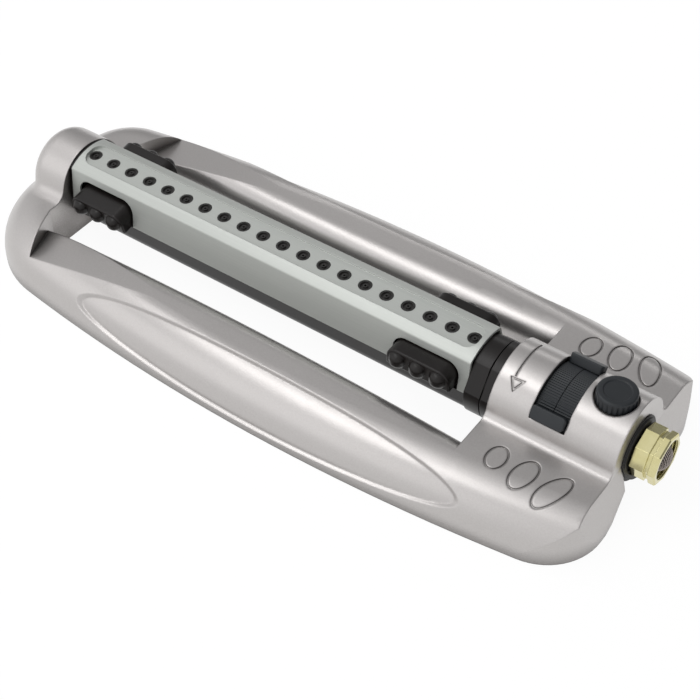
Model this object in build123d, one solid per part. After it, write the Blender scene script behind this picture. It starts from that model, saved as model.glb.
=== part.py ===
from build123d import *
from build123d.topology import SkipClean
import math
import os

# Oscillating lawn sprinkler. Millimetres, +Z up, +X toward the hose connector, front is -Y.
# The origin lies on the ground, below the middle of the whole length.

# Base frame, a thin metal shell standing on its lower rim
axis_height = 35.0
deck_height = 35.0
base_left = -255.0
base_right = 240.0
end_foot = 4.0
end_deck_x = 232.8
end_top_x = 231.2
half_width = 103.4
side_radius = 1410.0
side_centre_x = 12.0
left_front_corner = 75.0
left_back_corner = 46.0
right_corner = 40.0
edge_round = 30.0
wall = 2.5

# Raised housings at both ends of the base
arch_radius = 31.7
arch_inner_x = 145.4
valley_round = 7.0
lobe_radius = 29.8
lobe_inner_x = -206.0
lobe_outer_x = -240.0
lobe_round = 12.0
lobe_blend = 10.0
flare_start = 44.0
flare_slope = 0.38

# Side rails
opening_half = 46.6
opening_side_radius = 3800.0
crest_round = 16.0
seam_xs = (-260.0, -150.0, -100.0, -50.0, 0.0, 50.0, 100.0, 150.0, 260.0)
rail_drop = 13.0
rail_drop_start = -90.0
leaf_half_length = 152.0
leaf_half_height = 21.5
leaf_depth = 2.5
leaf_angle = 50.0
leaf_level = 6.5
leaf_rise = 1.5
leaf_wall_slope = 1.8

# Cut-out below the hose inlet
notch_foot_half = 46.0
notch_top = 15.0
notch_floor_depth = 16.0
notch_left = 226.0

# Marks on the base
groove_depth = 0.7
groove_width = 1.3
oval_xs = (169.1, 189.0, 209.2)
oval_ys = (56.8, 58.9, 60.2)
oval_widths = (14.0, 15.2, 14.6)
oval_lengths = (20.0, 25.6, 30.4)
oval_turns = (-2.0, 9.0, 21.0)
arrow_x = 155.5
arrow_tip_x = 157.8
arrow_half_width = 5.2

# Base floor
floor_thickness = 2.0
floor_recess = 0.8
boss_radius = 4.0
boss_places = ((-228, 42), (-130, 68), (-30, 68), (70, 68), (158, 62), (226, 62))
screw_radius = 1.5
screw_head_radius = 3.2
screw_head_height = 0.9

# Spray bar, swinging about the long axis and shown leaning a little to the front
bar_tilt = 6.0
bar_left = -203.5
bar_right = 126.0
bar_top = 29.5
bar_top_radius = 35.5
bar_corner_half = 17.3
bar_side_half = 22.8
bar_side_bottom = 0.6
bar_skin = 1.8
bar_corner_round = 1.6
strip_half = 10.0
strip_level = 27.0
strip_end = 3.4
strip_corner = 7.5
nozzle_count = 20
nozzle_pitch = 16.5
nozzle_stem = 2.7
nozzle_bore = 0.8
nozzle_hole_radius = 4.7
nozzle_cup = 3.4
nozzle_nub = 1.6
tube_radius = 17.2
tube_bore = 14.5
keel_half = 21.5
keel_bottom = -21.5
keel_corner = 10.0
keel_tongue = 6.0
keel_tongue_half = 19.0

# Width collars near the ends of the bar
collar_margin = 7.0
collar_length = 49.0
collar_thickness = 1.9
tab_cut_top = 19.5
tab_cut_corner = 9.0
tab_gap = 1.2
tab_top = 17.3
tab_bottom = 3.0
tab_reach = 30.5
tab_edge = 1.2
tab_bump_radius = 6.0
tab_bump_pitch = 15.0
tab_bump_y = 29.0
tab_bump_top = 15.6
tab_bump_bottom = 4.4
tab_bump_round = 4.6
collar_turns = (5.0, -3.0)

# Bar ends
end_plate = 1.6
stub_radius = 8.0
stub_end = -221.0
sleeve_radius = 27.0
sleeve_flat = 25.0
sleeve_flat_angle = 52.0
sleeve_right = 144.8
sleeve_seam_x = 137.5
journal_radius = 13.0
journal_bore = 9.0
journal_end = 161.0
bush_wall = 2.6
bush_flange = 2.8

# Gear train between the turbine and the bar
gear_module = 0.6
pressure_angle = 25.0
backlash = 0.1
bar_gear_teeth = 60
wheel_teeth = 36
pinion_teeth = 12
first_gear_angle = -40.0
second_gear_angle = 180.0
turbine_gear_angle = 120.0
gear_width = 4.0
bar_gear_x = 156.5
first_wheel_x = 163.0
second_wheel_x = 168.3
axle_radius = 1.2
gear_plate_x = 151.2
gear_plate_thickness = 2.0
gear_plate_top = 12.0
gear_plate_half = 25.0

# Gear case with the two range rings around it
case_left = 173.2
case_right = 197.8
case_radius = 26.0
case_wall = 2.0
case_flange = 3.0
case_flange_radius = 25.2
case_leg_half = 14.0
ring_outer = 28.9
ring_skirt = 0.9
ring_split_x = 185.3
ring_ribs = 110
ring_rib_depth = 0.45
window_left = 173.0
window_right = 197.4
window_front = 66.0
window_back = -58.0
front_tab_angle = 56.0
rear_tab_angle = -37.0
thumb_span = 15.0
thumb_proud = 3.6
thumb_corner = 2.2
thumb_edge = 0.8
lug_angle = 16.0
lug_span = 4.0
lever_pivot_z = 12.0
lever_tip = 24.5
lever_width = 3.6
turbine_radius = 12.0
turbine_blades = 10

# Flow valve below the knob
knob_x = 214.4
knob_radius = 12.7
knob_bottom = 63.6
knob_top = 72.0
knob_flutes = 24
seat_radius = 13.9
seat_level = 63.2
stem_radius = 4.0
plug_radius = 9.0
plug_bore = 6.5
chamber_wall = 3.0

# Hose inlet
inlet_radius = 11.0
inlet_bore = 8.0
inlet_flange_x = 239.2
inlet_end = 242.0
inlet_flange_radius = 12.6
nut_back = 235.0
nut_front = 252.4
nut_radius = 17.3
nut_groove_x = 244.8
nut_groove_width = 2.8
nut_groove_depth = 1.7
nut_facets = 8
thread_radius = 13.3
thread_pitch = 2.2
thread_depth = 0.5
gasket_radius = 23.0
gasket_rim = 1.0
gasket_lip = 0.9
gasket_back = 2.0
washer_thickness = 2.4
filter_rim = 0.9
filter_skin = 0.8
filter_dome_x = 250.2
filter_dome_radius = 8.2
filter_tip = 255.0

# Gaps
clearance = 0.3
running = 0.05

wide = 1.6 * half_width
os.makedirs("parts", exist_ok=True)


def station(x, tilt=0.0):
    lean = math.radians(tilt)
    across = (0, math.cos(lean), math.sin(lean))
    return Plane(origin=(x, 0, axis_height), x_dir=across, z_dir=(1, 0, 0))


def run(face, x0, x1, tilt=0.0):
    return station(x0, tilt) * extrude(face, x1 - x0)


def rod(x0, x1, radius, y=0.0, z=0.0):
    return run(Pos(y, z) * Circle(radius), x0, x1)


def pipe(x0, x1, outer, inner, y=0.0, z=0.0):
    face = Pos(y, z) * (Circle(outer) - Circle(inner))
    return run(face, x0, x1)


def post(x, y, z0, z1, radius):
    return Pos(x, y, (z0 + z1) / 2) * Cylinder(radius, z1 - z0)


def slab(x0, x1, y0, y1, z0, z1):
    middle = Pos((x0 + x1) / 2, (y0 + y1) / 2, (z0 + z1) / 2)
    return middle * Box(x1 - x0, y1 - y0, z1 - z0)


def polar(radius, degrees):
    angle = math.radians(degrees)
    return (radius * math.cos(angle), radius * math.sin(angle))


def sector(radius, start, stop):
    # wedge of a disc, angles from the upright toward the front
    points = [(0, 0)]
    for angle in (start, (start + stop) / 2, stop):
        points.append(polar(3 * radius, 90 + angle))
    points.append((0, 0))
    return Circle(radius) & make_face(Polyline(*points))


def footprint(inset, stretch=0.0):
    length = base_right - base_left - 2 * inset + stretch
    middle = base_left + inset + length / 2
    reach = side_radius - inset
    offset = side_radius - half_width
    plan = Pos(middle, 0) * Rectangle(length, 2 * wide)
    for side in (-1, 1):
        plan = plan & (Pos(side_centre_x, side * offset) * Circle(reach))
    corners = plan.vertices().sort_by(Axis.X)
    front, back = corners[:2].sort_by(Axis.Y)
    plan = fillet(front, left_front_corner - inset)
    back = plan.vertices().sort_by_distance((base_left, half_width))[0]
    plan = fillet(back, left_back_corner - inset)
    if stretch == 0:
        corners = plan.vertices().sort_by(Axis.X)
        plan = fillet(corners[-2:], right_corner - inset)
    return plan


def deck_form(inset):
    # whole footprint with the large rounding along both sides and the left end
    deck = deck_height - inset
    long_body = extrude(footprint(inset, 60), deck)
    top = long_body.faces().sort_by(Axis.Z)[-1]
    rim = [e for e in top.edges() if e.center().X < base_right + 50]
    long_body = fillet(rim, edge_round - inset)
    return long_body & extrude(footprint(inset), deck)


def gap_prism(inset):
    # the space between the two housings, flared at the left
    left = lobe_inner_x - inset
    right = arch_inner_x + inset
    flare = left + flare_slope * (wide - flare_start)
    outline = Polyline(
        (right, -wide), (right, wide), (flare, wide), (left, flare_start),
        (left, -flare_start), (flare, -wide), (right, -wide),
    )
    return extrude(make_face(outline), 100)


def rail_side(side, inset):
    # everything outside the inner wall of one rail
    middle = (arch_inner_x + lobe_inner_x) / 2
    offset = side * (opening_side_radius + opening_half)
    disc = extrude(Pos(middle, offset) * Circle(opening_side_radius - inset), deck_height - inset)
    rim = disc.faces().sort_by(Axis.Z)[-1].edges()
    return fillet(rim, crest_round - inset)


def end_side(inset):
    # everything inside the end wall at the hose, upright at the foot and the arch and leaning between
    outline = Polyline(
        (2 * base_left, -1), (base_right - inset, -1), (base_right - inset, end_foot),
        (end_deck_x - inset, deck_height), (end_top_x - inset, 100), (2 * base_left, 100),
        (2 * base_left, -1),
    )
    return Plane.XZ * extrude(make_face(outline), 2 * wide, both=True)


def arch_solid(x0, x1, radius, drop):
    face = Circle(radius) + Pos(0, -drop / 2) * Rectangle(2 * radius, drop)
    return run(face, x0, x1)


def leaf_panel(side, inset):
    # long leaf pressed a little into one side, its wall sloping all round
    lean = math.radians(leaf_angle)
    out = (0, side * math.sin(lean), math.cos(lean))
    reach = edge_round - leaf_level
    y = side * (half_width - edge_round + reach * math.sin(lean) - leaf_rise * math.cos(lean))
    z = deck_height - edge_round + reach * math.cos(lean) + leaf_rise * math.sin(lean)
    plane = Plane(origin=(side_centre_x, y, z), x_dir=(1, 0, 0), z_dir=out)
    outlines = []
    for level in (-8.0, 10.0):
        grow = inset + level * leaf_wall_slope
        outline = Ellipse(leaf_half_length + grow, leaf_half_height + grow)
        outlines.append(plane * (Pos(0, 0, level) * outline))
    return loft(outlines) - deck_form(inset + leaf_depth)


def base_form(inset):
    deck = deck_height - inset
    form = deck_form(inset)
    gap = gap_prism(inset)
    left_x = lobe_inner_x - inset
    right_x = arch_inner_x + inset
    ends = form - gap
    right = ends & slab(0, 2 * wide, -wide, wide, -1, 100)
    right = right + arch_solid(right_x, base_right - inset, arch_radius - inset, 20)
    left = ends & slab(-2 * wide, 0, -wide, wide, -1, 100)
    lobe = arch_solid(lobe_outer_x + inset, left_x, lobe_radius - inset, 25)
    end = lobe.faces().sort_by(Axis.X)[0].edges()
    end = [e for e in end if e.center().Z > axis_height - 20]
    left = left + fillet(end, lobe_round - inset)
    if inset == 0:
        foot = []
        for e in right.edges():
            at_side = abs(abs(e.center().Y) - arch_radius) < 0.1
            if at_side and abs(e.center().Z - deck) < 0.1:
                foot.append(e)
        right = fillet(foot, valley_round)
        foot = []
        for e in left.edges():
            c = e.center()
            near = abs(c.Y) < lobe_radius + 0.3 and 20 < c.Z <= deck + 0.1
            if near and e.geom_type != GeomType.CIRCLE and c.X < left_x - 1:
                foot.append(e)
        left = fillet(foot, lobe_blend)
    whole = right + left
    reach = rail_drop_start - lobe_inner_x
    fall = (reach * reach + rail_drop * rail_drop) / (2 * rail_drop)
    hill = Pos(rail_drop_start, 0, deck - fall) * Rot(90, 0, 0) * Cylinder(fall, 2 * wide)
    hill = hill + slab(rail_drop_start, right_x + 10, -wide, wide, -1, deck + 1)
    for side in (-1, 1):
        whole = whole + (form & gap & rail_side(side, inset) & hill)
    for side in (-1, 1):
        whole = whole - leaf_panel(side, inset)
    whole = whole & end_side(inset)
    return whole - post(knob_x, 0, seat_level - inset, 100, seat_radius + inset)


def screw_places():
    places = []
    for x, y in boss_places:
        places.append((x, y))
        places.append((x, -y))
    return places


# Base frame: pressed shell with bosses, bearing holes, window, knob seat and engraved marks
outer = base_form(0)
base = outer - base_form(wall)
floor_top = floor_recess + floor_thickness
for x, y in screw_places():
    base = base + (post(x, y, floor_top, deck_height - 1, boss_radius) & outer)
for x, y in screw_places():
    base = base - post(x, y, 0, floor_top + 10, screw_radius)
bush_outer = journal_radius + running + bush_wall
stub_bush_outer = stub_radius + running + bush_wall
base = base - rod(arch_inner_x - 1, arch_inner_x + wall + 1, bush_outer + clearance)
base = base - rod(lobe_inner_x - wall - 1, lobe_inner_x + 1, stub_bush_outer + clearance)
grommet_bore = nut_radius + 0.4
grommet_neck = grommet_bore + 1.4
notch_half = grommet_neck + clearance
notch_base = -axis_height - 1
notch_shoulder = notch_top - axis_height
notch = Polyline(
    (-notch_foot_half, notch_base), (notch_foot_half, notch_base), (notch_half, notch_shoulder),
    (notch_half, 0), (-notch_half, 0), (-notch_half, notch_shoulder), (-notch_foot_half, notch_base),
)
notch = make_face(notch) + Circle(notch_half)
base = base - run(notch, notch_left, base_right + 1)
base = base - run(sector(60, window_back, window_front), window_left, window_right)
base = base - post(knob_x, 0, axis_height + 15, knob_top, stem_radius + clearance)
skin = deck_form(0) - deck_form(groove_depth)
for x, y, width, length, turn in zip(oval_xs, oval_ys, oval_widths, oval_lengths, oval_turns):
    for side in (-1, 1):
        ring = Ellipse(width / 2, length / 2)
        ring = ring - Ellipse(width / 2 - groove_width, length / 2 - groove_width)
        ring = Pos(x, side * y, 0) * Rot(0, 0, side * turn) * extrude(ring, 60)
        base = base - (ring & skin)
arch_skin = pipe(arch_inner_x + 1, window_left - 1, arch_radius + 1, arch_radius - groove_depth)
shaft = slab(arrow_x - groove_width / 2, arrow_x + groove_width / 2, -40, 40, 0, 80)
shaft = shaft & run(sector(60, -27, 31), arrow_x - 5, arrow_x + 5)
base = base - (arch_skin & shaft)
head_plane = Plane(
    origin=(arrow_tip_x, 0, axis_height),
    x_dir=(1, 0, 0),
    z_dir=(0, -math.sin(math.radians(40)), math.cos(math.radians(40))),
)
head = Polyline((0, -4.6), (-arrow_half_width, 4.0), (arrow_half_width, 4.6), (0, -4.6))
head = make_face(head)
head = head - offset(head, -groove_width)
head = head_plane * extrude(head, 60)
base = base - (arch_skin & head)

# Seams across the base: its long rounded faces are cut short, as their volume is measured wrongly whole
lengths = []
for left, right in zip(seam_xs, seam_xs[1:]):
    lengths.append(base & slab(left, right, -wide, wide, -1, 100))
with SkipClean():
    base = lengths[0].fuse(*lengths[1:])
export_step(base, "parts/base_frame.step")

# Floor: one flat ring-shaped plate screwed up into the bosses
inset = wall + clearance
hole = gap_prism(inset) - rail_side(1, inset) - rail_side(-1, inset)
floor = extrude(footprint(inset), floor_thickness)
floor = Pos(0, 0, floor_recess) * floor - hole
floor = floor - slab(base_right - notch_floor_depth, base_right, -notch_foot_half, notch_foot_half, -1, 10)
screws = []
for x, y in screw_places():
    floor = floor - post(x, y, 0, floor_top + 1, screw_radius + clearance)
    sink = floor_recess + screw_head_height + 2 * clearance
    floor = floor - post(x, y, 0, sink, screw_head_radius + clearance)
    head_bottom = floor_recess + clearance
    screw = post(x, y, head_bottom, head_bottom + screw_head_height, screw_head_radius)
    screw = screw + post(x, y, head_bottom, floor_top + 8, screw_radius - running)
    slot = slab(x - 3, x + 3, y - 0.4, y + 0.4, 0, head_bottom + 0.5)
    screws.append(screw - slot)
export_step(floor, "parts/floor_plate.step")
export_step(Compound(children=screws), "parts/floor_screws.step")


def bar_profile(inset, bottom):
    # top arc and two leaning sides of the bar, set in by the given amount
    rise = bar_top_radius * bar_top_radius - bar_corner_half * bar_corner_half
    corner_z = bar_top - bar_top_radius + math.sqrt(rise)
    slope = (bar_side_half - bar_corner_half) / (corner_z - bar_side_bottom)
    shift = inset * math.sqrt(1 + slope * slope)
    low = bar_corner_half + (corner_z - bottom) * slope - shift
    high = bar_corner_half + (corner_z - 40) * slope - shift
    sides = Polyline((-low, bottom), (low, bottom), (high, 40), (-high, 40), (-low, bottom))
    cap = Pos(0, bar_top - bar_top_radius) * Circle(bar_top_radius - inset)
    face = make_face(sides) & cap
    corners = [v for v in face.vertices() if v.Y > 10]
    return fillet(corners, bar_corner_round)


def keel_profile(half, bottom, corner, top):
    face = Pos(0, (bottom + top) / 2) * Rectangle(2 * half, top - bottom)
    low = [v for v in face.vertices() if v.Y < bottom + 1]
    return fillet(low, corner)


bar_middle = (bar_left + bar_right) / 2
bar_length = bar_right - bar_left
nozzle_xs = []
for i in range(nozzle_count):
    nozzle_xs.append(bar_middle + (i - (nozzle_count - 1) / 2) * nozzle_pitch)
collar_xs = (bar_left + collar_margin, bar_right - collar_margin - collar_length)


def bar_block(x0, x1, y0, y1, z0, z1):
    face = Pos((y0 + y1) / 2, (z0 + z1) / 2) * Rectangle(y1 - y0, z1 - z0)
    return run(face, x0, x1, bar_tilt)


def bar_plate(face, z0, z1):
    # a plan shape drawn in bar x and y, raised between two heights over the bar axis
    lean = math.radians(bar_tilt)
    up = (0, -math.sin(lean), math.cos(lean))
    plane = Plane(origin=(0, 0, axis_height), x_dir=(1, 0, 0), z_dir=up)
    return plane * (Pos(0, 0, z0) * extrude(face, z1 - z0))


def bar_side(face, side, reach):
    # a shape drawn in bar x and z, run out to one side of the bar
    lean = math.radians(bar_tilt)
    out = (0, side * math.cos(lean), side * math.sin(lean))
    plane = Plane(origin=(0, 0, axis_height), x_dir=(-side, 0, 0), z_dir=out)
    return plane * extrude(face, reach)


# Bar cover: extruded metal channel with a sunk strip for the nozzles and four side notches
cover = run(bar_profile(0, bar_side_bottom), bar_left, bar_right, bar_tilt)
cover = cover - run(bar_profile(bar_skin, -5), bar_left - 1, bar_right + 1, bar_tilt)
strip = RectangleRounded(bar_length - 2 * strip_end, 2 * strip_half, strip_corner)
strip = Pos(bar_middle, 0) * strip
pad = Pos(bar_middle, 0) * Rectangle(bar_length - 1, 2 * strip_half + 4)
pad = bar_plate(pad, strip_level - bar_skin, bar_top)
cover = cover + (pad & run(bar_profile(0, 0), bar_left, bar_right, bar_tilt))
cover = cover - bar_plate(strip, strip_level, bar_top + 5)
for x in nozzle_xs:
    cover = cover - bar_plate(Pos(x, 0) * Circle(nozzle_hole_radius), strip_level - 5, bar_top)
notch_height = tab_cut_top + 20
for x in collar_xs:
    for side in (-1, 1):
        middle = x + collar_length / 2
        notch = Pos(-side * middle, tab_cut_top - notch_height / 2)
        notch = notch * Rectangle(collar_length, notch_height)
        tops = [v for v in notch.vertices() if v.Y > 0]
        notch = fillet(tops, tab_cut_corner)
        cover = cover - bar_side(notch, side, 40)
export_step(cover, "parts/bar_cover.step")

# Water tube with the black keel below it, both relieved where the collars turn
tube = run(Circle(tube_radius), bar_left, bar_right, bar_tilt)
keel = keel_profile(keel_half, keel_bottom, keel_corner, bar_side_bottom - clearance)
keel = run(keel, bar_left, bar_right, bar_tilt)
keel = keel + bar_block(bar_left, bar_right, -keel_tongue_half, keel_tongue_half, -2, keel_tongue)
for x in collar_xs:
    relief_left = x - clearance
    relief_right = x + collar_length + clearance
    keel = keel - rod(relief_left, relief_right, tube_radius + collar_thickness + 2 * clearance)
    keel = keel - bar_block(relief_left, relief_right, -40, -10, tab_bottom - 4.0, 40)
    keel = keel - bar_block(relief_left, relief_right, 10, 40, tab_bottom - 4.0, 40)
tube = tube + keel - rod(bar_left - 1, bar_right + 1, tube_bore)
for x in nozzle_xs:
    tube = tube - bar_plate(Pos(x, 0) * Circle(nozzle_bore + 0.4), 5, bar_top)
export_step(tube, "parts/water_tube.step")

# Nozzles: rubber jets standing on the tube, each a cupped head with a nub in a hole of the strip
jets = []
flange_top = strip_level - bar_skin - clearance
cup_floor = strip_level - 1.6
for x in nozzle_xs:
    jet = bar_plate(Pos(x, 0) * Circle(nozzle_stem), tube_radius - 1.2, flange_top)
    jet = jet + bar_plate(Pos(x, 0) * Circle(nozzle_hole_radius + 1), flange_top - 2, flange_top)
    jet = jet + bar_plate(Pos(x, 0) * Circle(nozzle_hole_radius - clearance), flange_top, strip_level - 0.3)
    cup = Circle(nozzle_cup) - Circle(nozzle_nub)
    jet = jet - bar_plate(Pos(x, 0) * cup, cup_floor, bar_top)
    jet = jet - run(Circle(tube_radius), x - 9, x + 9, bar_tilt)
    jets.append(jet - bar_plate(Pos(x, 0) * Circle(nozzle_bore), 10, bar_top))
export_step(Compound(children=jets), "parts/nozzles.step")

# Left end: closing plate with the bearing stub
plate_right = bar_left - 0.1
plate_left = plate_right - end_plate
plug = run(bar_profile(0.4, -1), plate_left, plate_right, bar_tilt)
keel_end = keel_profile(keel_half - 0.4, keel_bottom + 0.4, keel_corner, 0)
plug = plug + run(keel_end, plate_left, plate_right, bar_tilt)
plug = plug + rod(stub_end, plate_left, stub_radius)
plug = plug + rod(plate_right, plate_right + 9, tube_bore - running)
export_step(plug, "parts/left_end_plug.step")
left_bush = pipe(stub_end + 1, lobe_inner_x, stub_bush_outer, stub_radius + running)
flange_x = lobe_inner_x - wall - 0.1
left_bush = left_bush + pipe(flange_x - bush_flange, flange_x, stub_bush_outer + 3, stub_bush_outer - 1)
export_step(left_bush, "parts/left_bush.step")

# Right end: black sleeve with two flats, its hollow journal carries the bar gear
sleeve_face = Circle(sleeve_radius)
for side in (-1, 1):
    lean = Rot(0, 0, side * sleeve_flat_angle)
    trim = lean * Pos(0, sleeve_flat + 10) * Rectangle(60, 20)
    sleeve_face = sleeve_face - trim
sleeve_left = bar_right + 0.2
sleeve = run(sleeve_face, sleeve_left, sleeve_right, bar_tilt)
sleeve = sleeve - pipe(sleeve_seam_x, sleeve_seam_x + 0.7, sleeve_radius + 5, sleeve_flat - 0.6)
sleeve = sleeve + rod(sleeve_right, journal_end, journal_radius)
sleeve = sleeve + rod(bar_right - 9, sleeve_left, tube_bore - running)
sleeve = sleeve - rod(bar_right - 10, journal_end + 1, journal_bore)
export_step(sleeve, "parts/drive_sleeve.step")
right_bush = pipe(arch_inner_x, gear_plate_x - 0.4, bush_outer, journal_radius + running)
flange_x = arch_inner_x + wall + 0.1
right_bush = right_bush + pipe(flange_x, flange_x + bush_flange, bush_outer + 3, bush_outer - 1)
export_step(right_bush, "parts/right_bush.step")

# Width collars: a ring turning on the tube, with a shelf and three thumb bumps at the front and the back
collar_names = ("left_width_collar", "right_width_collar")
bar_axis = Axis((0, 0, axis_height), (1, 0, 0))
for name, x, turn in zip(collar_names, collar_xs, collar_turns):
    inner = tube_radius + clearance
    collar = pipe(x + tab_gap, x + collar_length - tab_gap, inner + collar_thickness, inner)
    middle = x + collar_length / 2
    span = collar_length - 2 * tab_gap
    for side in (-1, 1):
        outline = Pos(-side * middle, (tab_top + tab_bottom) / 2)
        outline = outline * Rectangle(span, tab_top - tab_bottom)
        tops = [v for v in outline.vertices() if v.Y > tab_bottom + 1]
        outline = fillet(tops, tab_cut_corner - tab_gap)
        tab = bar_side(outline, side, tab_reach)
        rim = tab.faces().sort_by(Axis((0, 0, 0), (0, side, 0)))[-1].edges()
        tab = fillet(rim, tab_edge)
        for step in (-1, 0, 1):
            bump = Pos(middle + step * tab_bump_pitch, side * tab_bump_y)
            bump = bar_plate(bump * Circle(tab_bump_radius), tab_bump_bottom, tab_bump_top)
            rims = [e for e in bump.edges() if e.geom_type == GeomType.CIRCLE]
            tab = tab + fillet(rims, tab_bump_round)
        tab = tab - rod(x - 1, x + collar_length + 1, inner + 0.2)
        collar = collar + tab
    collar = collar - bar_block(x, x + collar_length, -7, 7, 0, 40)
    export_step(collar.rotate(bar_axis, turn), "parts/" + name + ".step")


def involute(angle):
    return math.tan(angle) - angle


def gear_face(teeth, phase):
    # involute outline, one tooth centred on the given angle
    pitch = gear_module * teeth / 2
    press = math.radians(pressure_angle)
    base_circle = pitch * math.cos(press)
    tip = pitch + gear_module
    root = pitch - 1.25 * gear_module
    start = max(root, base_circle)
    half = math.pi / (2 * teeth) - backlash / (4 * pitch) + involute(press)
    flank = []
    for i in range(5):
        radius = start + (tip - start) * i / 4
        spread = half - involute(math.acos(base_circle / radius))
        flank.append((radius, math.degrees(spread)))
    stations = [list(flank)]
    if start > root:
        stations = [[(root, flank[0][1]), flank[0]], list(flank)]
    lines = []
    tooth_starts = []
    tooth_ends = []
    for k in range(teeth):
        middle = phase + 360.0 * k / teeth
        for points in stations:
            rising = [polar(r, middle - a) for r, a in points]
            falling = [polar(r, middle + a) for r, a in points]
            lines.append(Spline(*rising) if len(points) > 2 else Line(*rising))
            lines.append(Spline(*falling) if len(points) > 2 else Line(*falling))
        lines.append(Line(polar(tip, middle - flank[-1][1]), polar(tip, middle + flank[-1][1])))
        tooth_starts.append(polar(stations[0][0][0], middle - flank[0][1]))
        tooth_ends.append(polar(stations[0][0][0], middle + flank[0][1]))
    for k in range(teeth):
        lines.append(Line(tooth_ends[k - 1], tooth_starts[k]))
    return make_face(Wire.combine(lines)[0])


def shifted(origin, distance, degrees):
    y, z = polar(distance, degrees)
    return (origin[0] + y, origin[1] + z)


def gear_disc(teeth, phase, place, x, width):
    face = Pos(place[0], place[1]) * gear_face(teeth, phase)
    return run(face, x, x + width)


# Gear train: the bar gear is driven down from the turbine through two stepped gears
bar_reach = gear_module * (bar_gear_teeth + pinion_teeth) / 2
step_reach = gear_module * (wheel_teeth + pinion_teeth) / 2
first_place = shifted((0, 0), bar_reach, first_gear_angle)
second_place = shifted(first_place, step_reach, second_gear_angle)
turbine_place = shifted(second_place, step_reach, turbine_gear_angle)
half_pinion = 180.0 / pinion_teeth

bar_gear = gear_disc(bar_gear_teeth, first_gear_angle, (0, 0), bar_gear_x, gear_width)
bar_gear = bar_gear - rod(bar_gear_x - 1, bar_gear_x + gear_width + 1, journal_radius + running)
export_step(bar_gear, "parts/bar_gear.step")

pinion_phase = first_gear_angle + 180 + half_pinion
pinion_width = first_wheel_x - bar_gear_x + 0.6
first = gear_disc(pinion_teeth, pinion_phase, first_place, bar_gear_x - 0.5, pinion_width)
first = first + gear_disc(wheel_teeth, second_gear_angle, first_place, first_wheel_x, gear_width)
first = first - rod(gear_plate_x, case_left + 5, axle_radius + running, *first_place)
export_step(first, "parts/first_gear.step")

pinion_phase = second_gear_angle + 180 + half_pinion
pinion_width = second_wheel_x - first_wheel_x + 0.4
second = gear_disc(pinion_teeth, pinion_phase, second_place, first_wheel_x - 0.3, pinion_width)
second = second + gear_disc(wheel_teeth, turbine_gear_angle, second_place, second_wheel_x, gear_width - 0.2)
second = second - rod(gear_plate_x, case_left + 5, axle_radius + running, *second_place)
export_step(second, "parts/second_gear.step")

# Turbine: vaned wheel in the gear case, its shaft passes the case wall and ends in a pinion
pinion_phase = turbine_gear_angle + 180 + half_pinion
turbine = gear_disc(pinion_teeth, pinion_phase, turbine_place, second_wheel_x - 0.2, gear_width)
turbine = turbine + rod(second_wheel_x - 1.5, case_right + 1.5, axle_radius, *turbine_place)
blades_x = case_left + case_wall + 2
turbine = turbine + rod(blades_x, blades_x + 14, 3.2, *turbine_place)
for k in range(turbine_blades):
    blade = Pos(turbine_radius / 2, 0) * Rectangle(turbine_radius, 1.0)
    blade = Pos(*turbine_place) * Rot(0, 0, 360 * k / turbine_blades) * blade
    turbine = turbine + run(blade, blades_x + 1, blades_x + 13)
export_step(turbine, "parts/turbine.step")

axles = []
axles.append(rod(gear_plate_x, case_left + case_wall - 0.2, axle_radius, *first_place))
axles.append(rod(first_wheel_x - 1.2, case_left + case_wall - 0.2, axle_radius, *second_place))
axles.append(rod(case_left - 4.6, case_left + case_wall - 0.2, axle_radius, 0, lever_pivot_z))
export_step(Compound(children=axles), "parts/axle_pins.step")

# Gear plate standing on the floor behind the right bush
floor_z = floor_top - axis_height
plate = Rectangle(2 * gear_plate_half, gear_plate_top - floor_z)
plate = Pos(0, (gear_plate_top + floor_z) / 2) * plate
plate = plate - Circle(journal_radius + 2 * clearance)
plate = run(plate, gear_plate_x, gear_plate_x + gear_plate_thickness)
foot = slab(gear_plate_x, gear_plate_x + 8, -gear_plate_half, gear_plate_half, floor_top, floor_top + 2)
plate = plate + foot - rod(gear_plate_x - 1, gear_plate_x + 5, axle_radius + running, *first_place)
export_step(plate, "parts/gear_plate.step")

# Gear case: drum with a closed left wall, its flange at the right stands on the floor
case = pipe(case_left, case_right, case_radius, case_radius - case_wall)
case = case + rod(case_left, case_left + case_wall, case_radius)
flange = rod(case_right, case_right + case_flange, case_flange_radius)
leg = slab(case_right, case_right + case_flange, -case_leg_half, case_leg_half, floor_top, axis_height - 20)
foot = slab(case_right, case_right + 9, -case_leg_half, case_leg_half, floor_top, floor_top + 2)
case = case + flange + leg + foot
case = case - rod(case_right - 1, case_right + case_flange + 1, 5.0, 8.0, 5.0)
for place in (first_place, second_place, (0, lever_pivot_z)):
    case = case - rod(case_left - 1, case_left + case_wall + 1, axle_radius + running, *place)
case = case - rod(case_left - 1, case_right + 1.8, axle_radius + running, *turbine_place)
export_step(case, "parts/gear_case.step")


def ribbed_face(outer_radius, inner_radius):
    points = []
    for k in range(2 * ring_ribs):
        radius = outer_radius - (k % 2) * ring_rib_depth
        points.append(polar(radius, 180.0 * k / ring_ribs))
    points.append(points[0])
    return make_face(Polyline(*points)) - Circle(inner_radius)


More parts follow.
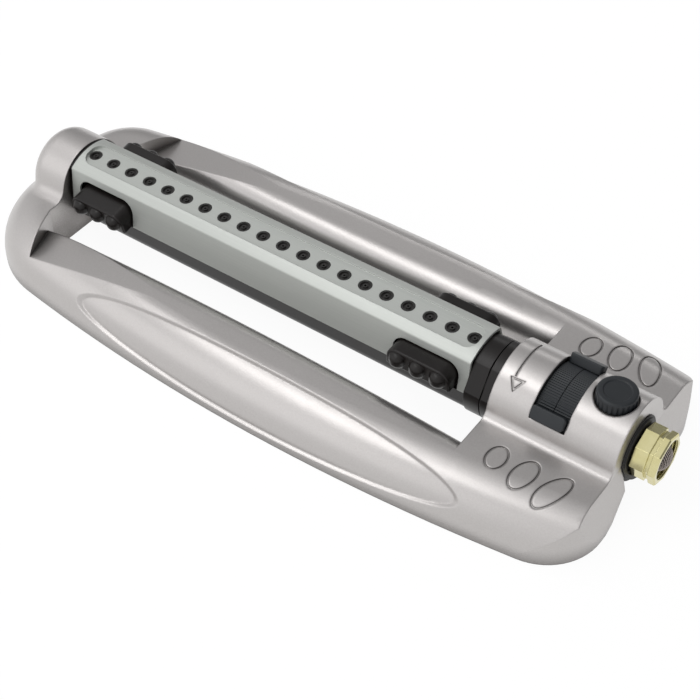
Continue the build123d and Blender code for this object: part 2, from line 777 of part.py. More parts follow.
def thumb_tab(x0, x1, angle, low):
    # raised thumb piece lying across the rings, its corners and top edges rounded
    high = arch_radius + thumb_proud
    face = sector(high, angle - thumb_span / 2, angle + thumb_span / 2)
    tab = run(face - Circle(low), x0, x1)
    corners = [e for e in tab.edges() if abs(e.length - high + low) < 0.01]
    tab = fillet(corners, thumb_corner)
    top = [f for f in tab.faces() if abs(f.bounding_box().size.X - x1 + x0) < 0.01]
    top = max(top, key=lambda f: f.area)
    return fillet(top.edges(), thumb_edge)


def tab_root(x0, x1, angle, low):
    # web joining a thumb piece to its ring
    half = thumb_span / 2 - thumb_corner
    face = sector(ring_outer + 2, angle - half, angle + half)
    return run(face - Circle(low), x0, x1)


def ring_lug(angle, low, high):
    face = sector(high, angle - lug_span / 2, angle + lug_span / 2)
    return face - Circle(low)


# Range rings: two ribbed bands side by side, each with a thumb tab across the window
ring_inner = case_radius + clearance
skirt_outer = ring_inner + ring_skirt
front_inner = skirt_outer + clearance
tab_left = window_left + 0.8
tab_right = window_right - 0.8
lug_left = case_left - 2.8
front_ring = run(ribbed_face(ring_outer, front_inner), case_left + 0.4, ring_split_x - 0.2)
front_ring = front_ring + thumb_tab(tab_left, tab_right, front_tab_angle, ring_outer + clearance)
front_ring = front_ring + tab_root(tab_left + 3, ring_split_x - 0.2, front_tab_angle, front_inner + 0.4)
lug = ring_lug(front_tab_angle - lug_angle / 4, front_inner, ring_outer - 0.6)
front_ring = front_ring + run(lug, lug_left, case_left + 1)
export_step(front_ring, "parts/front_range_ring.step")
rear_ring = run(ribbed_face(ring_outer, ring_inner), ring_split_x + 0.2, case_right - 0.4)
rear_ring = rear_ring + pipe(lug_left, ring_split_x + 1, skirt_outer, ring_inner)
rear_ring = rear_ring + thumb_tab(tab_left, tab_right, rear_tab_angle, ring_outer + clearance)
rear_ring = rear_ring + tab_root(ring_split_x + 0.2, tab_right - 3, rear_tab_angle, ring_inner + 0.4)
lug = ring_lug(rear_tab_angle - lug_angle, 22, ring_inner + 0.4)
rear_ring = rear_ring + run(lug, lug_left, case_left - 0.4)
export_step(rear_ring, "parts/rear_range_ring.step")

# Trip lever between the lugs of the rings, held over centre by a leaf spring
lever_left = case_left - 3.0
lever_right = case_left - 0.4
lever = Pos(0, lever_pivot_z) * Circle(3.4)
lever = lever + Pos(0, (lever_pivot_z + lever_tip) / 2) * Rectangle(lever_width, lever_tip - lever_pivot_z)
lever = run(lever, lever_left, lever_right)
lever = lever - rod(lever_left - 1, lever_right + 1, axle_radius + running, 0, lever_pivot_z)
export_step(lever, "parts/trip_lever.step")
spring = slab(lever_left - 0.8, lever_left - 0.4, -2.6, 2.6, axis_height + 7.5, axis_height + 19)
spring = spring + slab(lever_left - 0.8, case_left, -2.6, 2.6, axis_height + 7.5, axis_height + 7.9)
spring = spring - rod(lever_left - 2, lever_left, axle_radius + 0.4, 0, lever_pivot_z)
export_step(spring, "parts/trip_spring.step")

# Flow knob: black cap with a faceted skirt and a chamfered top
knob = RegularPolygon(knob_radius, knob_flutes)
knob = Pos(knob_x, 0, knob_bottom) * extrude(knob, knob_top - knob_bottom)
knob = chamfer(knob.faces().sort_by(Axis.Z)[-1].edges(), 1.8)
knob = knob - post(knob_x, 0, knob_bottom - 1, knob_top - 2.2, stem_radius + running)
export_step(knob, "parts/flow_knob.step")

# Valve plug: vertical tap plug with a cross bore, turned by the knob
plug_bottom = axis_height - 11
plug_top = axis_height + 20
tap = post(knob_x, 0, plug_bottom, plug_top, plug_radius)
tap = tap + post(knob_x, 0, plug_top, knob_top - 2.4, stem_radius)
tap = tap - rod(knob_x - 20, knob_x + 20, plug_bore)
export_step(tap, "parts/valve_plug.step")

# Inlet body: cross tube with the valve chamber, its flanged tail holds the hose nut
chamber = plug_radius + running + chamber_wall
inlet = rod(case_right + case_flange + 0.1, inlet_end, inlet_radius)
inlet = inlet + rod(inlet_flange_x, inlet_end, inlet_flange_radius)
inlet = inlet + post(knob_x, 0, plug_bottom - 3, plug_top + 0.2, chamber)
inlet = inlet - rod(case_right, inlet_end + 1, inlet_bore)
inlet = inlet - post(knob_x, 0, plug_bottom - 0.2, plug_top + 5, plug_radius + running)
export_step(inlet, "parts/inlet_body.step")
cap = post(knob_x, 0, plug_top + 0.3, plug_top + 3.3, chamber)
cap = cap - post(knob_x, 0, plug_top, plug_top + 5, stem_radius + running)
export_step(cap, "parts/valve_cap.step")
seal = Pos(knob_x, 0, plug_top + 4.4) * Torus(stem_radius + 1.3, 1.0)
export_step(seal, "parts/stem_seal.step")

# Hose nut: brass swivel with two eight-sided flanges, a groove between and a thread inside
nut_face = RegularPolygon(nut_radius, nut_facets)
nut = run(nut_face, nut_back, nut_front)
for end in (0, -1):
    rim = nut.faces().sort_by(Axis.X)[end].edges()
    nut = chamfer(rim, 0.9)
nut_waist = RegularPolygon(nut_radius - nut_groove_depth, nut_facets)
nut_groove = Circle(nut_radius + 2) - nut_waist
nut = nut - run(nut_groove, nut_groove_x, nut_groove_x + nut_groove_width)
nut = nut - rod(nut_back - 1, nut_front + 1, inlet_radius + clearance)
nut = nut - rod(inlet_flange_x - 0.4, nut_front + 1, thread_radius)
turns = int((nut_front - inlet_end - washer_thickness) / thread_pitch)
for k in range(turns):
    x = nut_front - 1.2 - k * thread_pitch
    low = thread_radius - 0.1
    ridge = Polyline((x, low), (x + 0.8, low), (x + 0.4, low + thread_depth + 0.1), (x, low))
    ridge = Plane.XZ * make_face(ridge)
    nut = nut - Pos(0, 0, axis_height) * revolve(ridge, Axis.X)
export_step(nut, "parts/hose_nut.step")

# Gasket, washer and filter at the inlet
gasket_left = end_top_x - wall - gasket_back
lip = pipe(gasket_left, base_right, notch_half + gasket_rim, grommet_bore)
lip = lip & (end_side(-gasket_lip) - end_side(-0.1))
flange = pipe(gasket_left, base_right, gasket_radius, grommet_bore)
flange = flange & (end_side(wall + 0.1) - end_side(wall + gasket_back))
neck = pipe(gasket_left, base_right, grommet_neck, grommet_bore)
neck = neck & (end_side(-gasket_lip) - end_side(wall + gasket_back))
disc = pipe(end_top_x - wall, nut_back - 0.5, grommet_neck, inlet_radius + clearance)
gasket = neck + lip + flange + disc
export_step(gasket, "parts/inlet_gasket.step")
washer_x = inlet_end + 0.1
washer = pipe(washer_x, washer_x + washer_thickness, thread_radius - clearance, inlet_bore)
export_step(washer, "parts/hose_washer.step")
filter_x = washer_x + washer_thickness + 0.1
cone_radius = thread_radius - 3.0


def dome_form(x0, inset):
    # body of the filter, a slight cone that ends in a blunt dome
    rim = (x0, cone_radius - inset)
    shoulder = (filter_dome_x, filter_dome_radius - inset)
    tip = (filter_tip - inset, 0)
    lines = [
        Line(rim, shoulder),
        Spline(shoulder, tip, tangents=[(1, -0.35), (0, -1)]),
        Line(tip, (x0, 0)),
        Line((x0, 0), rim),
    ]
    face = make_face(Wire.combine(lines)[0])
    return Pos(0, 0, axis_height) * revolve(Plane.XZ * face, Axis.X)


screen = dome_form(filter_x, 0) - dome_form(filter_x - 1, filter_skin)
screen = screen + pipe(filter_x, filter_x + filter_rim, thread_radius - clearance, cone_radius - 0.6)
export_step(screen, "parts/filter_screen.step")
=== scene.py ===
import math
import bpy
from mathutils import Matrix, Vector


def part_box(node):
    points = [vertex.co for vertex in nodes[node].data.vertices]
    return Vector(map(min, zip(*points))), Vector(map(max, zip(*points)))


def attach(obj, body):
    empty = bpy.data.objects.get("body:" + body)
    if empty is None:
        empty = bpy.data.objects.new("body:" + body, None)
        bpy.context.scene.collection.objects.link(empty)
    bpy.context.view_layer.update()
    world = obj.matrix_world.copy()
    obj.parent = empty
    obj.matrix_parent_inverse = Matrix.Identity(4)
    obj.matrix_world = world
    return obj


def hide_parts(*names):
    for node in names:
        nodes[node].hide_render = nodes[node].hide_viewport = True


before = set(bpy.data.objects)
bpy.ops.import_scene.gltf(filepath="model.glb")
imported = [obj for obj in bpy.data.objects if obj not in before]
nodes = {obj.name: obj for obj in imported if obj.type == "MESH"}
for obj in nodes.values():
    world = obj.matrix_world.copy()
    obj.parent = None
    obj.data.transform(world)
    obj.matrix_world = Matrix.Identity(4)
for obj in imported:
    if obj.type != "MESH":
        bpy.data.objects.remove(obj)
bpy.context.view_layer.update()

# Base frame: one pressed metal shell that carries everything, standing on its lower rim.
# It is sprayed with a satin silver paint, so broad soft highlights run along its rounded edges.


def linear(colour):
    """Linear RGBA of an sRGB hex colour."""
    values = []
    for i in (1, 3, 5):
        c = int(colour[i:i + 2], 16) / 255
        values.append(c / 12.92 if c <= 0.04045 else ((c + 0.055) / 1.055) ** 2.4)
    return (*values, 1.0)


def add(material, kind, settings=(), links=()):
    """Adds one node, sets its inputs or properties, and links inputs to other nodes' outputs."""
    tree = material.node_tree
    node = tree.nodes.new(kind)
    for name, value in dict(settings).items():
        if isinstance(name, int) or name in node.inputs:
            node.inputs[name].default_value = value
        else:
            setattr(node, name, value)
    for name, (source, output) in dict(links).items():
        tree.links.new(source.outputs[output], node.inputs[name])
    return node


def new_material(name):
    material = bpy.data.materials.new(name)
    material.use_nodes = True
    material.node_tree.nodes.clear()
    return material


def dress(material, *names):
    for name in names:
        for place in nodes[name].material_slots:
            place.material = material


# Satin silver paint: fine aluminium flakes in a smooth film, with edges that catch the light. Painted
# shade darkens its colour in engraved lines and narrow creases, and in the hollow sides between parts.
# The flakes are drawn about 0.9 mm across, larger than real ones, so that they show at all.
# A noise scale, here and below, is the number of cells in a metre, so 1100 gives cells of 0.9 mm.
silver = new_material("satin_silver_paint")
spot = add(silver, "ShaderNodeTexCoord")
flake = add(silver, "ShaderNodeTexNoise", {"Scale": 1100.0, "Detail": 2.0}, {"Vector": (spot, "Object")})
cloud = add(silver, "ShaderNodeTexNoise", {"Scale": 14.0, "Detail": 3.0}, {"Vector": (spot, "Object")})
tint = add(silver, "ShaderNodeMix", {"data_type": "RGBA", 6: linear("#B2AEAC"), 7: linear("#C1BEBC")},
           {0: (flake, "Fac")})
# Painted shade: the colour goes towards dark grey in creases and engraved lines, found by occlusion
# within 1.6 mm.
shade = add(silver, "ShaderNodeAmbientOcclusion", {"samples": 8, "Distance": 0.0016})
crease_shade_mask = add(silver, "ShaderNodeMapRange", {"From Min": 0.35, "From Max": 0.8},
             {"Value": (shade, "AO")})
# Painted shade: the colour goes towards dark grey in the hollow sides, found by occlusion within 30 mm.
hollow_occlusion = add(silver, "ShaderNodeAmbientOcclusion", {"samples": 8, "Distance": 0.03})
hollow_shade_mask = add(silver, "ShaderNodeMapRange", {"From Min": 0.38, "From Max": 0.74},
             {"Value": (hollow_occlusion, "AO")})
hollow_shaded_tint = add(silver, "ShaderNodeMix", {"data_type": "RGBA", 6: linear("#5C5856")},
           {0: (hollow_shade_mask, "Result"), 7: (tint, 2)})
crease_shaded_tint = add(silver, "ShaderNodeMix", {"data_type": "RGBA", 6: linear("#4E4A48")},
           {0: (crease_shade_mask, "Result"), 7: (hollow_shaded_tint, 2)})
gloss = add(silver, "ShaderNodeMapRange", {"To Min": 0.27, "To Max": 0.36}, {"Value": (cloud, "Fac")})
edge = add(silver, "ShaderNodeBevel", {"samples": 6, "Radius": 0.0016})
peel = add(silver, "ShaderNodeTexNoise", {"Scale": 420.0, "Detail": 1.0}, {"Vector": (spot, "Object")})
relief = add(silver, "ShaderNodeBump", {"Strength": 0.05, "Distance": 0.0002},
             {"Height": (peel, "Fac"), "Normal": (edge, "Normal")})
paint = add(silver, "ShaderNodeBsdfPrincipled",
            {"Metallic": 0.8, "Coat Weight": 0.15, "Coat Roughness": 0.2},
            {"Base Color": (crease_shaded_tint, 2), "Roughness": (gloss, "Result"), "Normal": (relief, "Normal")})
add(silver, "ShaderNodeOutputMaterial", {}, {"Surface": (paint, "BSDF")})
dress(silver, "base_frame")

# Floor plate, tube, keel, bar ends, collars and inlet: moulded in one black plastic.
# Its skin is semi-gloss with a faint cloud, and the edges of a moulding are a little rounded. Its
# grain is drawn about 0.8 mm across, coarser than the real one, so that it shows.
black = new_material("moulded_black_plastic")
spot = add(black, "ShaderNodeTexCoord")
grain = add(black, "ShaderNodeTexNoise", {"Scale": 1300.0, "Detail": 2.0}, {"Vector": (spot, "Object")})
cloud = add(black, "ShaderNodeTexNoise", {"Scale": 45.0, "Detail": 2.0}, {"Vector": (spot, "Object")})
tint = add(black, "ShaderNodeMix", {"data_type": "RGBA", 6: linear("#120F0E"), 7: linear("#1B1716")},
           {0: (cloud, "Fac")})
gloss = add(black, "ShaderNodeMapRange", {"To Min": 0.24, "To Max": 0.38}, {"Value": (cloud, "Fac")})
edge = add(black, "ShaderNodeBevel", {"samples": 6, "Radius": 0.0006})
relief = add(black, "ShaderNodeBump", {"Strength": 0.06, "Distance": 0.0001},
             {"Height": (grain, "Fac"), "Normal": (edge, "Normal")})
skin = add(black, "ShaderNodeBsdfPrincipled", {"IOR": 1.5, "Specular IOR Level": 0.3},
           {"Base Color": (tint, 2), "Roughness": (gloss, "Result"), "Normal": (relief, "Normal")})
add(black, "ShaderNodeOutputMaterial", {}, {"Surface": (skin, "BSDF")})
dress(black, "floor_plate", "water_tube", "left_end_plug", "drive_sleeve", "left_width_collar",
      "right_width_collar", "inlet_body", "valve_cap")

# Floor screws, axle pins and trip spring: small steel pieces with a thin zinc plating.
# The plating is bright and slightly mottled, with a blue-grey cast.
zinc = new_material("zinc_plated_steel")
spot = add(zinc, "ShaderNodeTexCoord")
mottle = add(zinc, "ShaderNodeTexNoise", {"Scale": 900.0, "Detail": 3.0}, {"Vector": (spot, "Object")})
tint = add(zinc, "ShaderNodeMix", {"data_type": "RGBA", 6: linear("#A3A7AB"), 7: linear("#BCBFC1")},
           {0: (mottle, "Fac")})
gloss = add(zinc, "ShaderNodeMapRange", {"To Min": 0.22, "To Max": 0.36}, {"Value": (mottle, "Fac")})
metal = add(zinc, "ShaderNodeBsdfPrincipled", {"Metallic": 1.0},
            {"Base Color": (tint, 2), "Roughness": (gloss, "Result")})
add(zinc, "ShaderNodeOutputMaterial", {}, {"Surface": (metal, "BSDF")})
dress(zinc, "floor_screws", "axle_pins", "trip_spring")

# Water motor inside the arch: gears, turbine, case, bushes and lever, hidden in use.
# They are moulded in unpainted acetal, a waxy cream plastic that lets a little light in.
acetal = new_material("cream_acetal")
spot = add(acetal, "ShaderNodeTexCoord")
cloud = add(acetal, "ShaderNodeTexNoise", {"Scale": 120.0, "Detail": 2.0}, {"Vector": (spot, "Object")})
tint = add(acetal, "ShaderNodeMix", {"data_type": "RGBA", 6: linear("#DAD6C8"), 7: linear("#E6E3D8")},
           {0: (cloud, "Fac")})
gloss = add(acetal, "ShaderNodeMapRange", {"To Min": 0.35, "To Max": 0.48}, {"Value": (cloud, "Fac")})
skin = add(acetal, "ShaderNodeBsdfPrincipled", {"Subsurface Weight": 0.1, "Subsurface Scale": 0.001},
           {"Base Color": (tint, 2), "Roughness": (gloss, "Result")})
add(acetal, "ShaderNodeOutputMaterial", {}, {"Surface": (skin, "BSDF")})
dress(acetal, "bar_gear", "first_gear", "second_gear", "turbine", "gear_case", "gear_plate", "left_bush",
      "right_bush", "trip_lever", "valve_plug")

# Spray bar cover: an extruded aluminium channel, bead blasted and anodised to a soft satin grey.
# The die leaves faint lines along its length, about 0.4 mm apart.
anodised = new_material("satin_anodised_aluminium")
spot = add(anodised, "ShaderNodeTexCoord")
along = add(anodised, "ShaderNodeMapping", {"Scale": (12.0, 2400.0, 2400.0)},
            {"Vector": (spot, "Object")})
lines = add(anodised, "ShaderNodeTexNoise", {"Scale": 1.0, "Detail": 2.0}, {"Vector": (along, "Vector")})
grit = add(anodised, "ShaderNodeTexNoise", {"Scale": 1600.0, "Detail": 1.0},
           {"Vector": (spot, "Object")})
tint = add(anodised, "ShaderNodeMix", {"data_type": "RGBA", 6: linear("#B0B3AF"), 7: linear("#BEC1BC")},
           {0: (lines, "Fac")})
gloss = add(anodised, "ShaderNodeMapRange", {"To Min": 0.36, "To Max": 0.48}, {"Value": (grit, "Fac")})
edge = add(anodised, "ShaderNodeBevel", {"samples": 6, "Radius": 0.0007})
relief = add(anodised, "ShaderNodeBump", {"Strength": 0.08, "Distance": 0.0001},
             {"Height": (lines, "Fac"), "Normal": (edge, "Normal")})
metal = add(anodised, "ShaderNodeBsdfPrincipled", {"Metallic": 0.5},
            {"Base Color": (tint, 2), "Roughness": (gloss, "Result"), "Normal": (relief, "Normal")})
add(anodised, "ShaderNodeOutputMaterial", {}, {"Surface": (metal, "BSDF")})
dress(anodised, "bar_cover")

# Nozzles and seals: soft black rubber, cupped around a nub so that a thumb can clear the jet.
# Rubber is matt with a dusty bloom on what stands proud.
rubber = new_material("black_rubber")
spot = add(rubber, "ShaderNodeTexCoord")
bloom = add(rubber, "ShaderNodeTexNoise", {"Scale": 700.0, "Detail": 3.0}, {"Vector": (spot, "Object")})
tint = add(rubber, "ShaderNodeMix", {"data_type": "RGBA", 6: linear("#1C1B1A"), 7: linear("#2E2C2A")},
           {0: (bloom, "Fac")})
gloss = add(rubber, "ShaderNodeMapRange", {"To Min": 0.4, "To Max": 0.6}, {"Value": (bloom, "Fac")})
edge = add(rubber, "ShaderNodeBevel", {"samples": 6, "Radius": 0.0005})
skin = add(rubber, "ShaderNodeBsdfPrincipled", {"IOR": 1.45},
           {"Base Color": (tint, 2), "Roughness": (gloss, "Result"), "Normal": (edge, "Normal")})
add(rubber, "ShaderNodeOutputMaterial", {}, {"Surface": (skin, "BSDF")})
dress(rubber, "nozzles", "inlet_gasket", "hose_washer", "stem_seal")

# Range rings: two ribbed bands with thumb tabs, moulded in a slate-black plastic with a fine
# spark-eroded grain that stays matt, so each rib shows as a thin pale line along its crest.
slate = new_material("slate_black_plastic")
spot = add(slate, "ShaderNodeTexCoord")
grain = add(slate, "ShaderNodeTexNoise", {"Scale": 1500.0, "Detail": 2.0}, {"Vector": (spot, "Object")})
cloud = add(slate, "ShaderNodeTexNoise", {"Scale": 60.0, "Detail": 2.0}, {"Vector": (spot, "Object")})
tint = add(slate, "ShaderNodeMix", {"data_type": "RGBA", 6: linear("#1C2023"), 7: linear("#26292D")},
           {0: (cloud, "Fac")})
gloss = add(slate, "ShaderNodeMapRange", {"To Min": 0.36, "To Max": 0.5}, {"Value": (grain, "Fac")})
edge = add(slate, "ShaderNodeBevel", {"samples": 6, "Radius": 0.0004})
relief = add(slate, "ShaderNodeBump", {"Strength": 0.1, "Distance": 0.0001},
             {"Height": (grain, "Fac"), "Normal": (edge, "Normal")})
skin = add(slate, "ShaderNodeBsdfPrincipled", {"IOR": 1.5, "Specular IOR Level": 0.4},
           {"Base Color": (tint, 2), "Roughness": (gloss, "Result"), "Normal": (relief, "Normal")})
add(slate, "ShaderNodeOutputMaterial", {}, {"Surface": (skin, "BSDF")})
dress(slate, "front_range_ring", "rear_range_ring")

# Flow knob: a moulded cap with a fluted skirt and a rounded rim around a slightly sunk top.
# It is pressed onto the stem of the valve and sits in the round seat of the arch.
low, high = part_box("flow_knob")
knob_x = (low[0] + high[0]) / 2
knob_radius = (high[0] - low[0]) / 2
knob_rim = 0.0016
knob_lip = 0.0022
knob_sink = 0.0006
rim_steps = 5
plain_band = 0.0012
flute_count = 24
flute_depth = 0.0006
columns_per_flute = 6
sunk_columns = 2
weld_distance = 0.000005


def choose(piece, wanted):
    """Selects the vertices of a mesh for which wanted says yes, and stays in edit mode."""
    bpy.ops.object.mode_set(mode="EDIT")
    bpy.ops.mesh.select_mode(type="VERT")
    bpy.ops.mesh.select_all(action="DESELECT")
    bpy.ops.object.mode_set(mode="OBJECT")
    for point in piece.data.vertices:
        point.select = wanted(point)
    bpy.ops.object.mode_set(mode="EDIT")


def turned(name, outline, centre, axis, steps):
    """A body of revolution: the outline is spun once around the axis through the centre."""
    mesh = bpy.data.meshes.new(name)
    mesh.from_pydata(outline, [(i, i + 1) for i in range(len(outline) - 1)], [])
    piece = bpy.data.objects.new(name, mesh)
    bpy.context.scene.collection.objects.link(piece)
    bpy.ops.object.select_all(action="DESELECT")
    piece.select_set(True)
    bpy.context.view_layer.objects.active = piece
    bpy.ops.object.mode_set(mode="EDIT")
    bpy.ops.mesh.select_all(action="SELECT")
    bpy.ops.mesh.spin(steps=steps, angle=2 * math.pi, center=centre, axis=axis)
    bpy.ops.mesh.select_all(action="SELECT")
    bpy.ops.mesh.remove_doubles(threshold=weld_distance)
    bpy.ops.mesh.normals_make_consistent(inside=False)
    bpy.ops.object.mode_set(mode="OBJECT")
    return piece


skirt_top = high[2] - knob_rim
outline = [(knob_x, 0, low[2]), (knob_x + knob_radius, 0, low[2])]
outline.append((knob_x + knob_radius, 0, skirt_top - plain_band))
for k in range(rim_steps + 1):
    turn = math.radians(90 * k / rim_steps)
    reach = knob_radius - knob_rim + knob_rim * math.cos(turn)
    outline.append((knob_x + reach, 0, skirt_top + knob_rim * math.sin(turn)))
inner = knob_radius - knob_rim - knob_lip
outline.append((knob_x + inner, 0, high[2]))
outline.append((knob_x + inner - knob_sink, 0, high[2] - knob_sink))
outline.append((knob_x, 0, high[2] - knob_sink))
columns = columns_per_flute * flute_count
knob = turned("flow_knob_cap", outline, (knob_x, 0, 0), (0, 0, 1), columns)


def in_flute(v):
    """Says whether a vertex of the knob lies on its skirt, in a column that is sunk."""
    column = round(math.degrees(math.atan2(v.co.y, v.co.x - knob_x)) * columns / 360)
    on_skirt = v.co.z < skirt_top - plain_band / 2
    outside = math.hypot(v.co.x - knob_x, v.co.y) > knob_radius / 2
    return column % columns_per_flute < sunk_columns and on_skirt and outside


choose(knob, in_flute)
sunk = 1 - flute_depth / knob_radius
bpy.ops.transform.resize(value=(sunk, sunk, 1), center_override=(knob_x, 0, low[2]))
bpy.ops.object.mode_set(mode="OBJECT")
bpy.ops.object.shade_smooth_by_angle(angle=math.radians(40))
knob.data.materials.append(slate)
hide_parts("flow_knob")
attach(knob, "knob")

# Hose nut: a swivel turned from eight-sided brass bar, with a groove between its two flanges.
# It is polished and lacquered, so it mirrors the room with a pale, slightly green gold.
brass = new_material("polished_brass")
spot = add(brass, "ShaderNodeTexCoord")
cloud = add(brass, "ShaderNodeTexNoise", {"Scale": 150.0, "Detail": 3.0}, {"Vector": (spot, "Object")})
tint = add(brass, "ShaderNodeMix", {"data_type": "RGBA", 6: linear("#C8BF88"), 7: linear("#D9D3A6")},
           {0: (cloud, "Fac")})
gloss = add(brass, "ShaderNodeMapRange", {"To Min": 0.08, "To Max": 0.16}, {"Value": (cloud, "Fac")})
edge = add(brass, "ShaderNodeBevel", {"samples": 6, "Radius": 0.0005})
metal = add(brass, "ShaderNodeBsdfPrincipled", {"Metallic": 1.0},
            {"Base Color": (tint, 2), "Roughness": (gloss, "Result"), "Normal": (edge, "Normal")})
add(brass, "ShaderNodeOutputMaterial", {}, {"Surface": (metal, "BSDF")})
dress(brass, "hose_nut")

# Filter: a dome pressed from woven wire cloth, held by its rim against the hose washer.
# The wires are drawn 0.6 mm thick and 1.35 mm apart, coarser than real cloth, so that they show.
low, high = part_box("filter_screen")
rim_x = low[0]
tip_x = high[0]
axis_z = (low[2] + high[2]) / 2
dome_radius = 0.0101
shoulder_power = 2.4
height_power = 0.62
wire = 0.0006
wires_across = 15


def cloth_x(radius, inset):
    """Place along the axis of a point of the dome at the given distance from the axis."""
    depth = tip_x - inset - rim_x
    return rim_x + depth * (1 - (radius / dome_radius) ** shoulder_power) ** height_power


def dome(name, inset):
    """A square grid of cloth, trimmed to a disc and pressed into the dome."""
    bpy.ops.object.select_all(action="DESELECT")
    bpy.ops.mesh.primitive_grid_add(x_subdivisions=wires_across, y_subdivisions=wires_across,
                                    size=2 * dome_radius, rotation=(0, math.pi / 2, 0))
    piece = bpy.context.object
    piece.name = name
    bpy.ops.object.transform_apply(location=True, rotation=True, scale=True)
    choose(piece, lambda v: math.hypot(v.co.y, v.co.z) > dome_radius - inset)
    bpy.ops.mesh.delete(type="VERT")
    bpy.ops.object.mode_set(mode="OBJECT")
    for point in piece.data.vertices:
        radius = math.hypot(point.co.y, point.co.z)
        point.co.x = cloth_x(radius, inset)
        point.co.z += axis_z
    return piece


mesh_cloth = dome("filter_wire_cloth", wire)
weave = mesh_cloth.modifiers.new("wires", "WIREFRAME")
weave.thickness = wire
weave.use_boundary = True
bpy.ops.object.modifier_apply(modifier="wires")
bpy.ops.object.shade_smooth_by_angle(angle=math.radians(50))
# Steel wire: drawn and a little dulled by water, so it is grey-brown with a soft shine.
steel_wire = new_material("grey_steel_wire")
spot = add(steel_wire, "ShaderNodeTexCoord")
mottle = add(steel_wire, "ShaderNodeTexNoise", {"Scale": 1200.0, "Detail": 2.0},
             {"Vector": (spot, "Object")})
tint = add(steel_wire, "ShaderNodeMix",
           {"data_type": "RGBA", 6: linear("#A39A94"), 7: linear("#B8AFA9")}, {0: (mottle, "Fac")})
gloss = add(steel_wire, "ShaderNodeMapRange", {"To Min": 0.35, "To Max": 0.5},
            {"Value": (mottle, "Fac")})
metal = add(steel_wire, "ShaderNodeBsdfPrincipled", {"Metallic": 0.7},
            {"Base Color": (tint, 2), "Roughness": (gloss, "Result")})
add(steel_wire, "ShaderNodeOutputMaterial", {}, {"Surface": (metal, "BSDF")})
mesh_cloth.data.materials.append(steel_wire)
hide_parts("filter_screen")
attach(mesh_cloth, "base")

# Painted shade behind the filter: a plain thin dark shell just behind the wire cloth, pressed to its
# shape.
# It stands for the shade inside the filter and is seen only as a dark grey ground between the wires.
shade_sheet_thickness = 0.0002
shade_sheet = dome("filter_shade_sheet", 2 * wire)
shell = shade_sheet.modifiers.new("shell", "SOLIDIFY")
shell.thickness = shade_sheet_thickness
shell.offset = 0.0
bpy.ops.object.modifier_apply(modifier="shell")
bpy.ops.object.shade_smooth_by_angle(angle=math.radians(60))
# Painted shade: a dark grey colour for the shell behind the wires.
shade_sheet_paint = new_material("painted_shade_sheet")
spot = add(shade_sheet_paint, "ShaderNodeTexCoord")
sheet_grain = add(shade_sheet_paint, "ShaderNodeTexNoise", {"Scale": 2500.0, "Detail": 1.0}, {"Vector": (spot, "Object")})
tint = add(shade_sheet_paint, "ShaderNodeMix", {"data_type": "RGBA", 6: linear("#2B2725"), 7: linear("#3B3533")},
           {0: (sheet_grain, "Fac")})
skin = add(shade_sheet_paint, "ShaderNodeBsdfPrincipled", {"Roughness": 0.6, "Metallic": 0.3},
           {"Base Color": (tint, 2)})
add(shade_sheet_paint, "ShaderNodeOutputMaterial", {}, {"Surface": (skin, "BSDF")})
shade_sheet.data.materials.append(shade_sheet_paint)
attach(shade_sheet, "base")

# Studio floor: a white sweep that shows white to the camera and in reflections, and still takes
# the soft shadow of the object. It is wide enough to fill the picture from a low side view too.
floor_size = 40.0
glow_share = 0.92
glow_strength = 1.02
bpy.ops.object.select_all(action="DESELECT")
bpy.ops.mesh.primitive_plane_add(size=floor_size, location=(0, 0, 0))
floor = bpy.context.object
floor.name = "studio_floor"
white = new_material("white_studio_floor")
ray = add(white, "ShaderNodeLightPath")
seen = add(white, "ShaderNodeMath", {"operation": "MAXIMUM"},
           {0: (ray, "Is Camera Ray"), 1: (ray, "Is Glossy Ray")})
clear = add(white, "ShaderNodeMath", {"operation": "MAXIMUM"},
            {0: (seen, 0), 1: (ray, "Is Transmission Ray")})
share = add(white, "ShaderNodeMath", {"operation": "MULTIPLY", 1: glow_share}, {0: (clear, 0)})
matt = add(white, "ShaderNodeBsdfDiffuse", {"Color": linear("#F4F4F4")})
glow = add(white, "ShaderNodeEmission", {"Color": (1, 1, 1, 1), "Strength": glow_strength})
mix = add(white, "ShaderNodeMixShader", {}, {0: (share, 0), 1: (matt, "BSDF"), 2: (glow, "Emission")})
add(white, "ShaderNodeOutputMaterial", {}, {"Surface": (mix, "Shader")})
floor.data.materials.append(white)

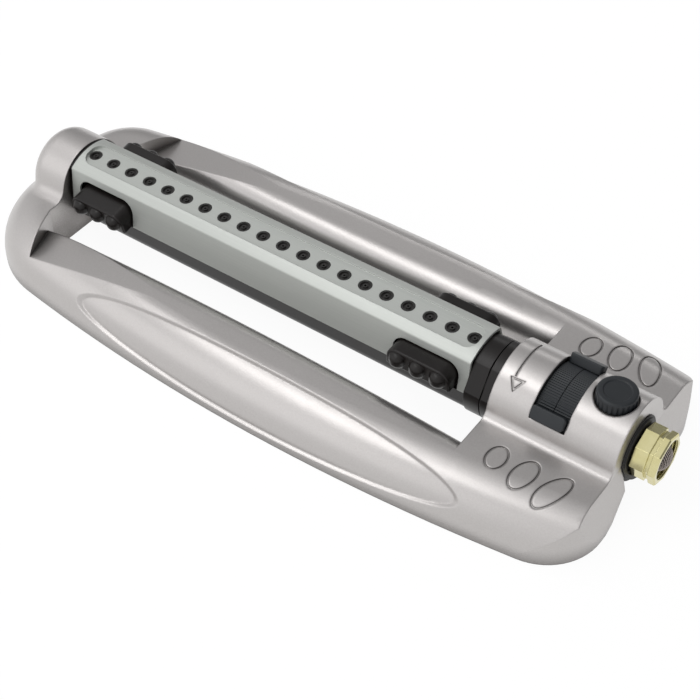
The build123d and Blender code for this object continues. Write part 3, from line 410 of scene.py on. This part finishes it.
# Studio room: pale walls, brightest at the front left of the object, so that what faces the front
# is light and what faces up or away is a clear step darker.
bright_side = (-0.45, -0.78, 0.43)
dim_wall = 0.34
bright_wall = 1.18
world = bpy.data.worlds.new("studio_room")
bpy.context.scene.world = world
world.use_nodes = True
world.node_tree.nodes.clear()
spot = add(world, "ShaderNodeTexCoord")
facing = add(world, "ShaderNodeVectorMath", {"operation": "DOT_PRODUCT", 1: bright_side},
             {0: (spot, "Generated")})
level = add(world, "ShaderNodeMapRange",
            {"From Min": -0.2, "From Max": 0.7, "To Min": dim_wall, "To Max": bright_wall},
            {"Value": (facing, "Value")})
room = add(world, "ShaderNodeBackground", {"Color": linear("#F2F2F3")}, {"Strength": (level, "Result")})
add(world, "ShaderNodeOutputWorld", {}, {"Surface": (room, "Background")})

# Lamps: a large softbox at the front left, a long one overhead and a narrow one behind the object.
# The overhead one gives the bright lines along the rounded edges.


def softbox(name, place, width, height, watts):
    """A rectangular lamp that faces the origin; sizes in metres."""
    lamp = bpy.data.lights.new(name, "AREA")
    lamp.shape = "RECTANGLE"
    lamp.size = width
    lamp.size_y = height
    lamp.energy = watts
    holder = bpy.data.objects.new(name, lamp)
    bpy.context.scene.collection.objects.link(holder)
    holder.location = place
    x, y, z = place
    holder.rotation_euler = (math.atan2(math.hypot(x, y), z), 0, math.atan2(-x, y) + math.pi)


softbox("front_softbox", place=(-1.0, -1.5, 1.0), width=2.0, height=1.2, watts=3)
softbox("overhead_softbox", place=(-0.5, -0.3, 1.4), width=1.3, height=0.35, watts=4)
softbox("back_softbox", place=(-0.4, 1.2, 0.7), width=0.9, height=0.2, watts=1)

# Camera, placed so that the object lies in the picture as it does in the photograph.
camera = bpy.data.cameras.new("photo_camera")
camera.lens = 77.81
camera.sensor_width = 36.0
holder = bpy.data.objects.new("photo_camera", camera)
bpy.context.scene.collection.objects.link(holder)
holder.location = (0.444, -0.581, 0.717)
holder.rotation_euler = (math.radians(44.762), math.radians(0.342), math.radians(35.716))
bpy.context.scene.camera = holder
bpy.context.scene.view_settings.view_transform = "Standard"
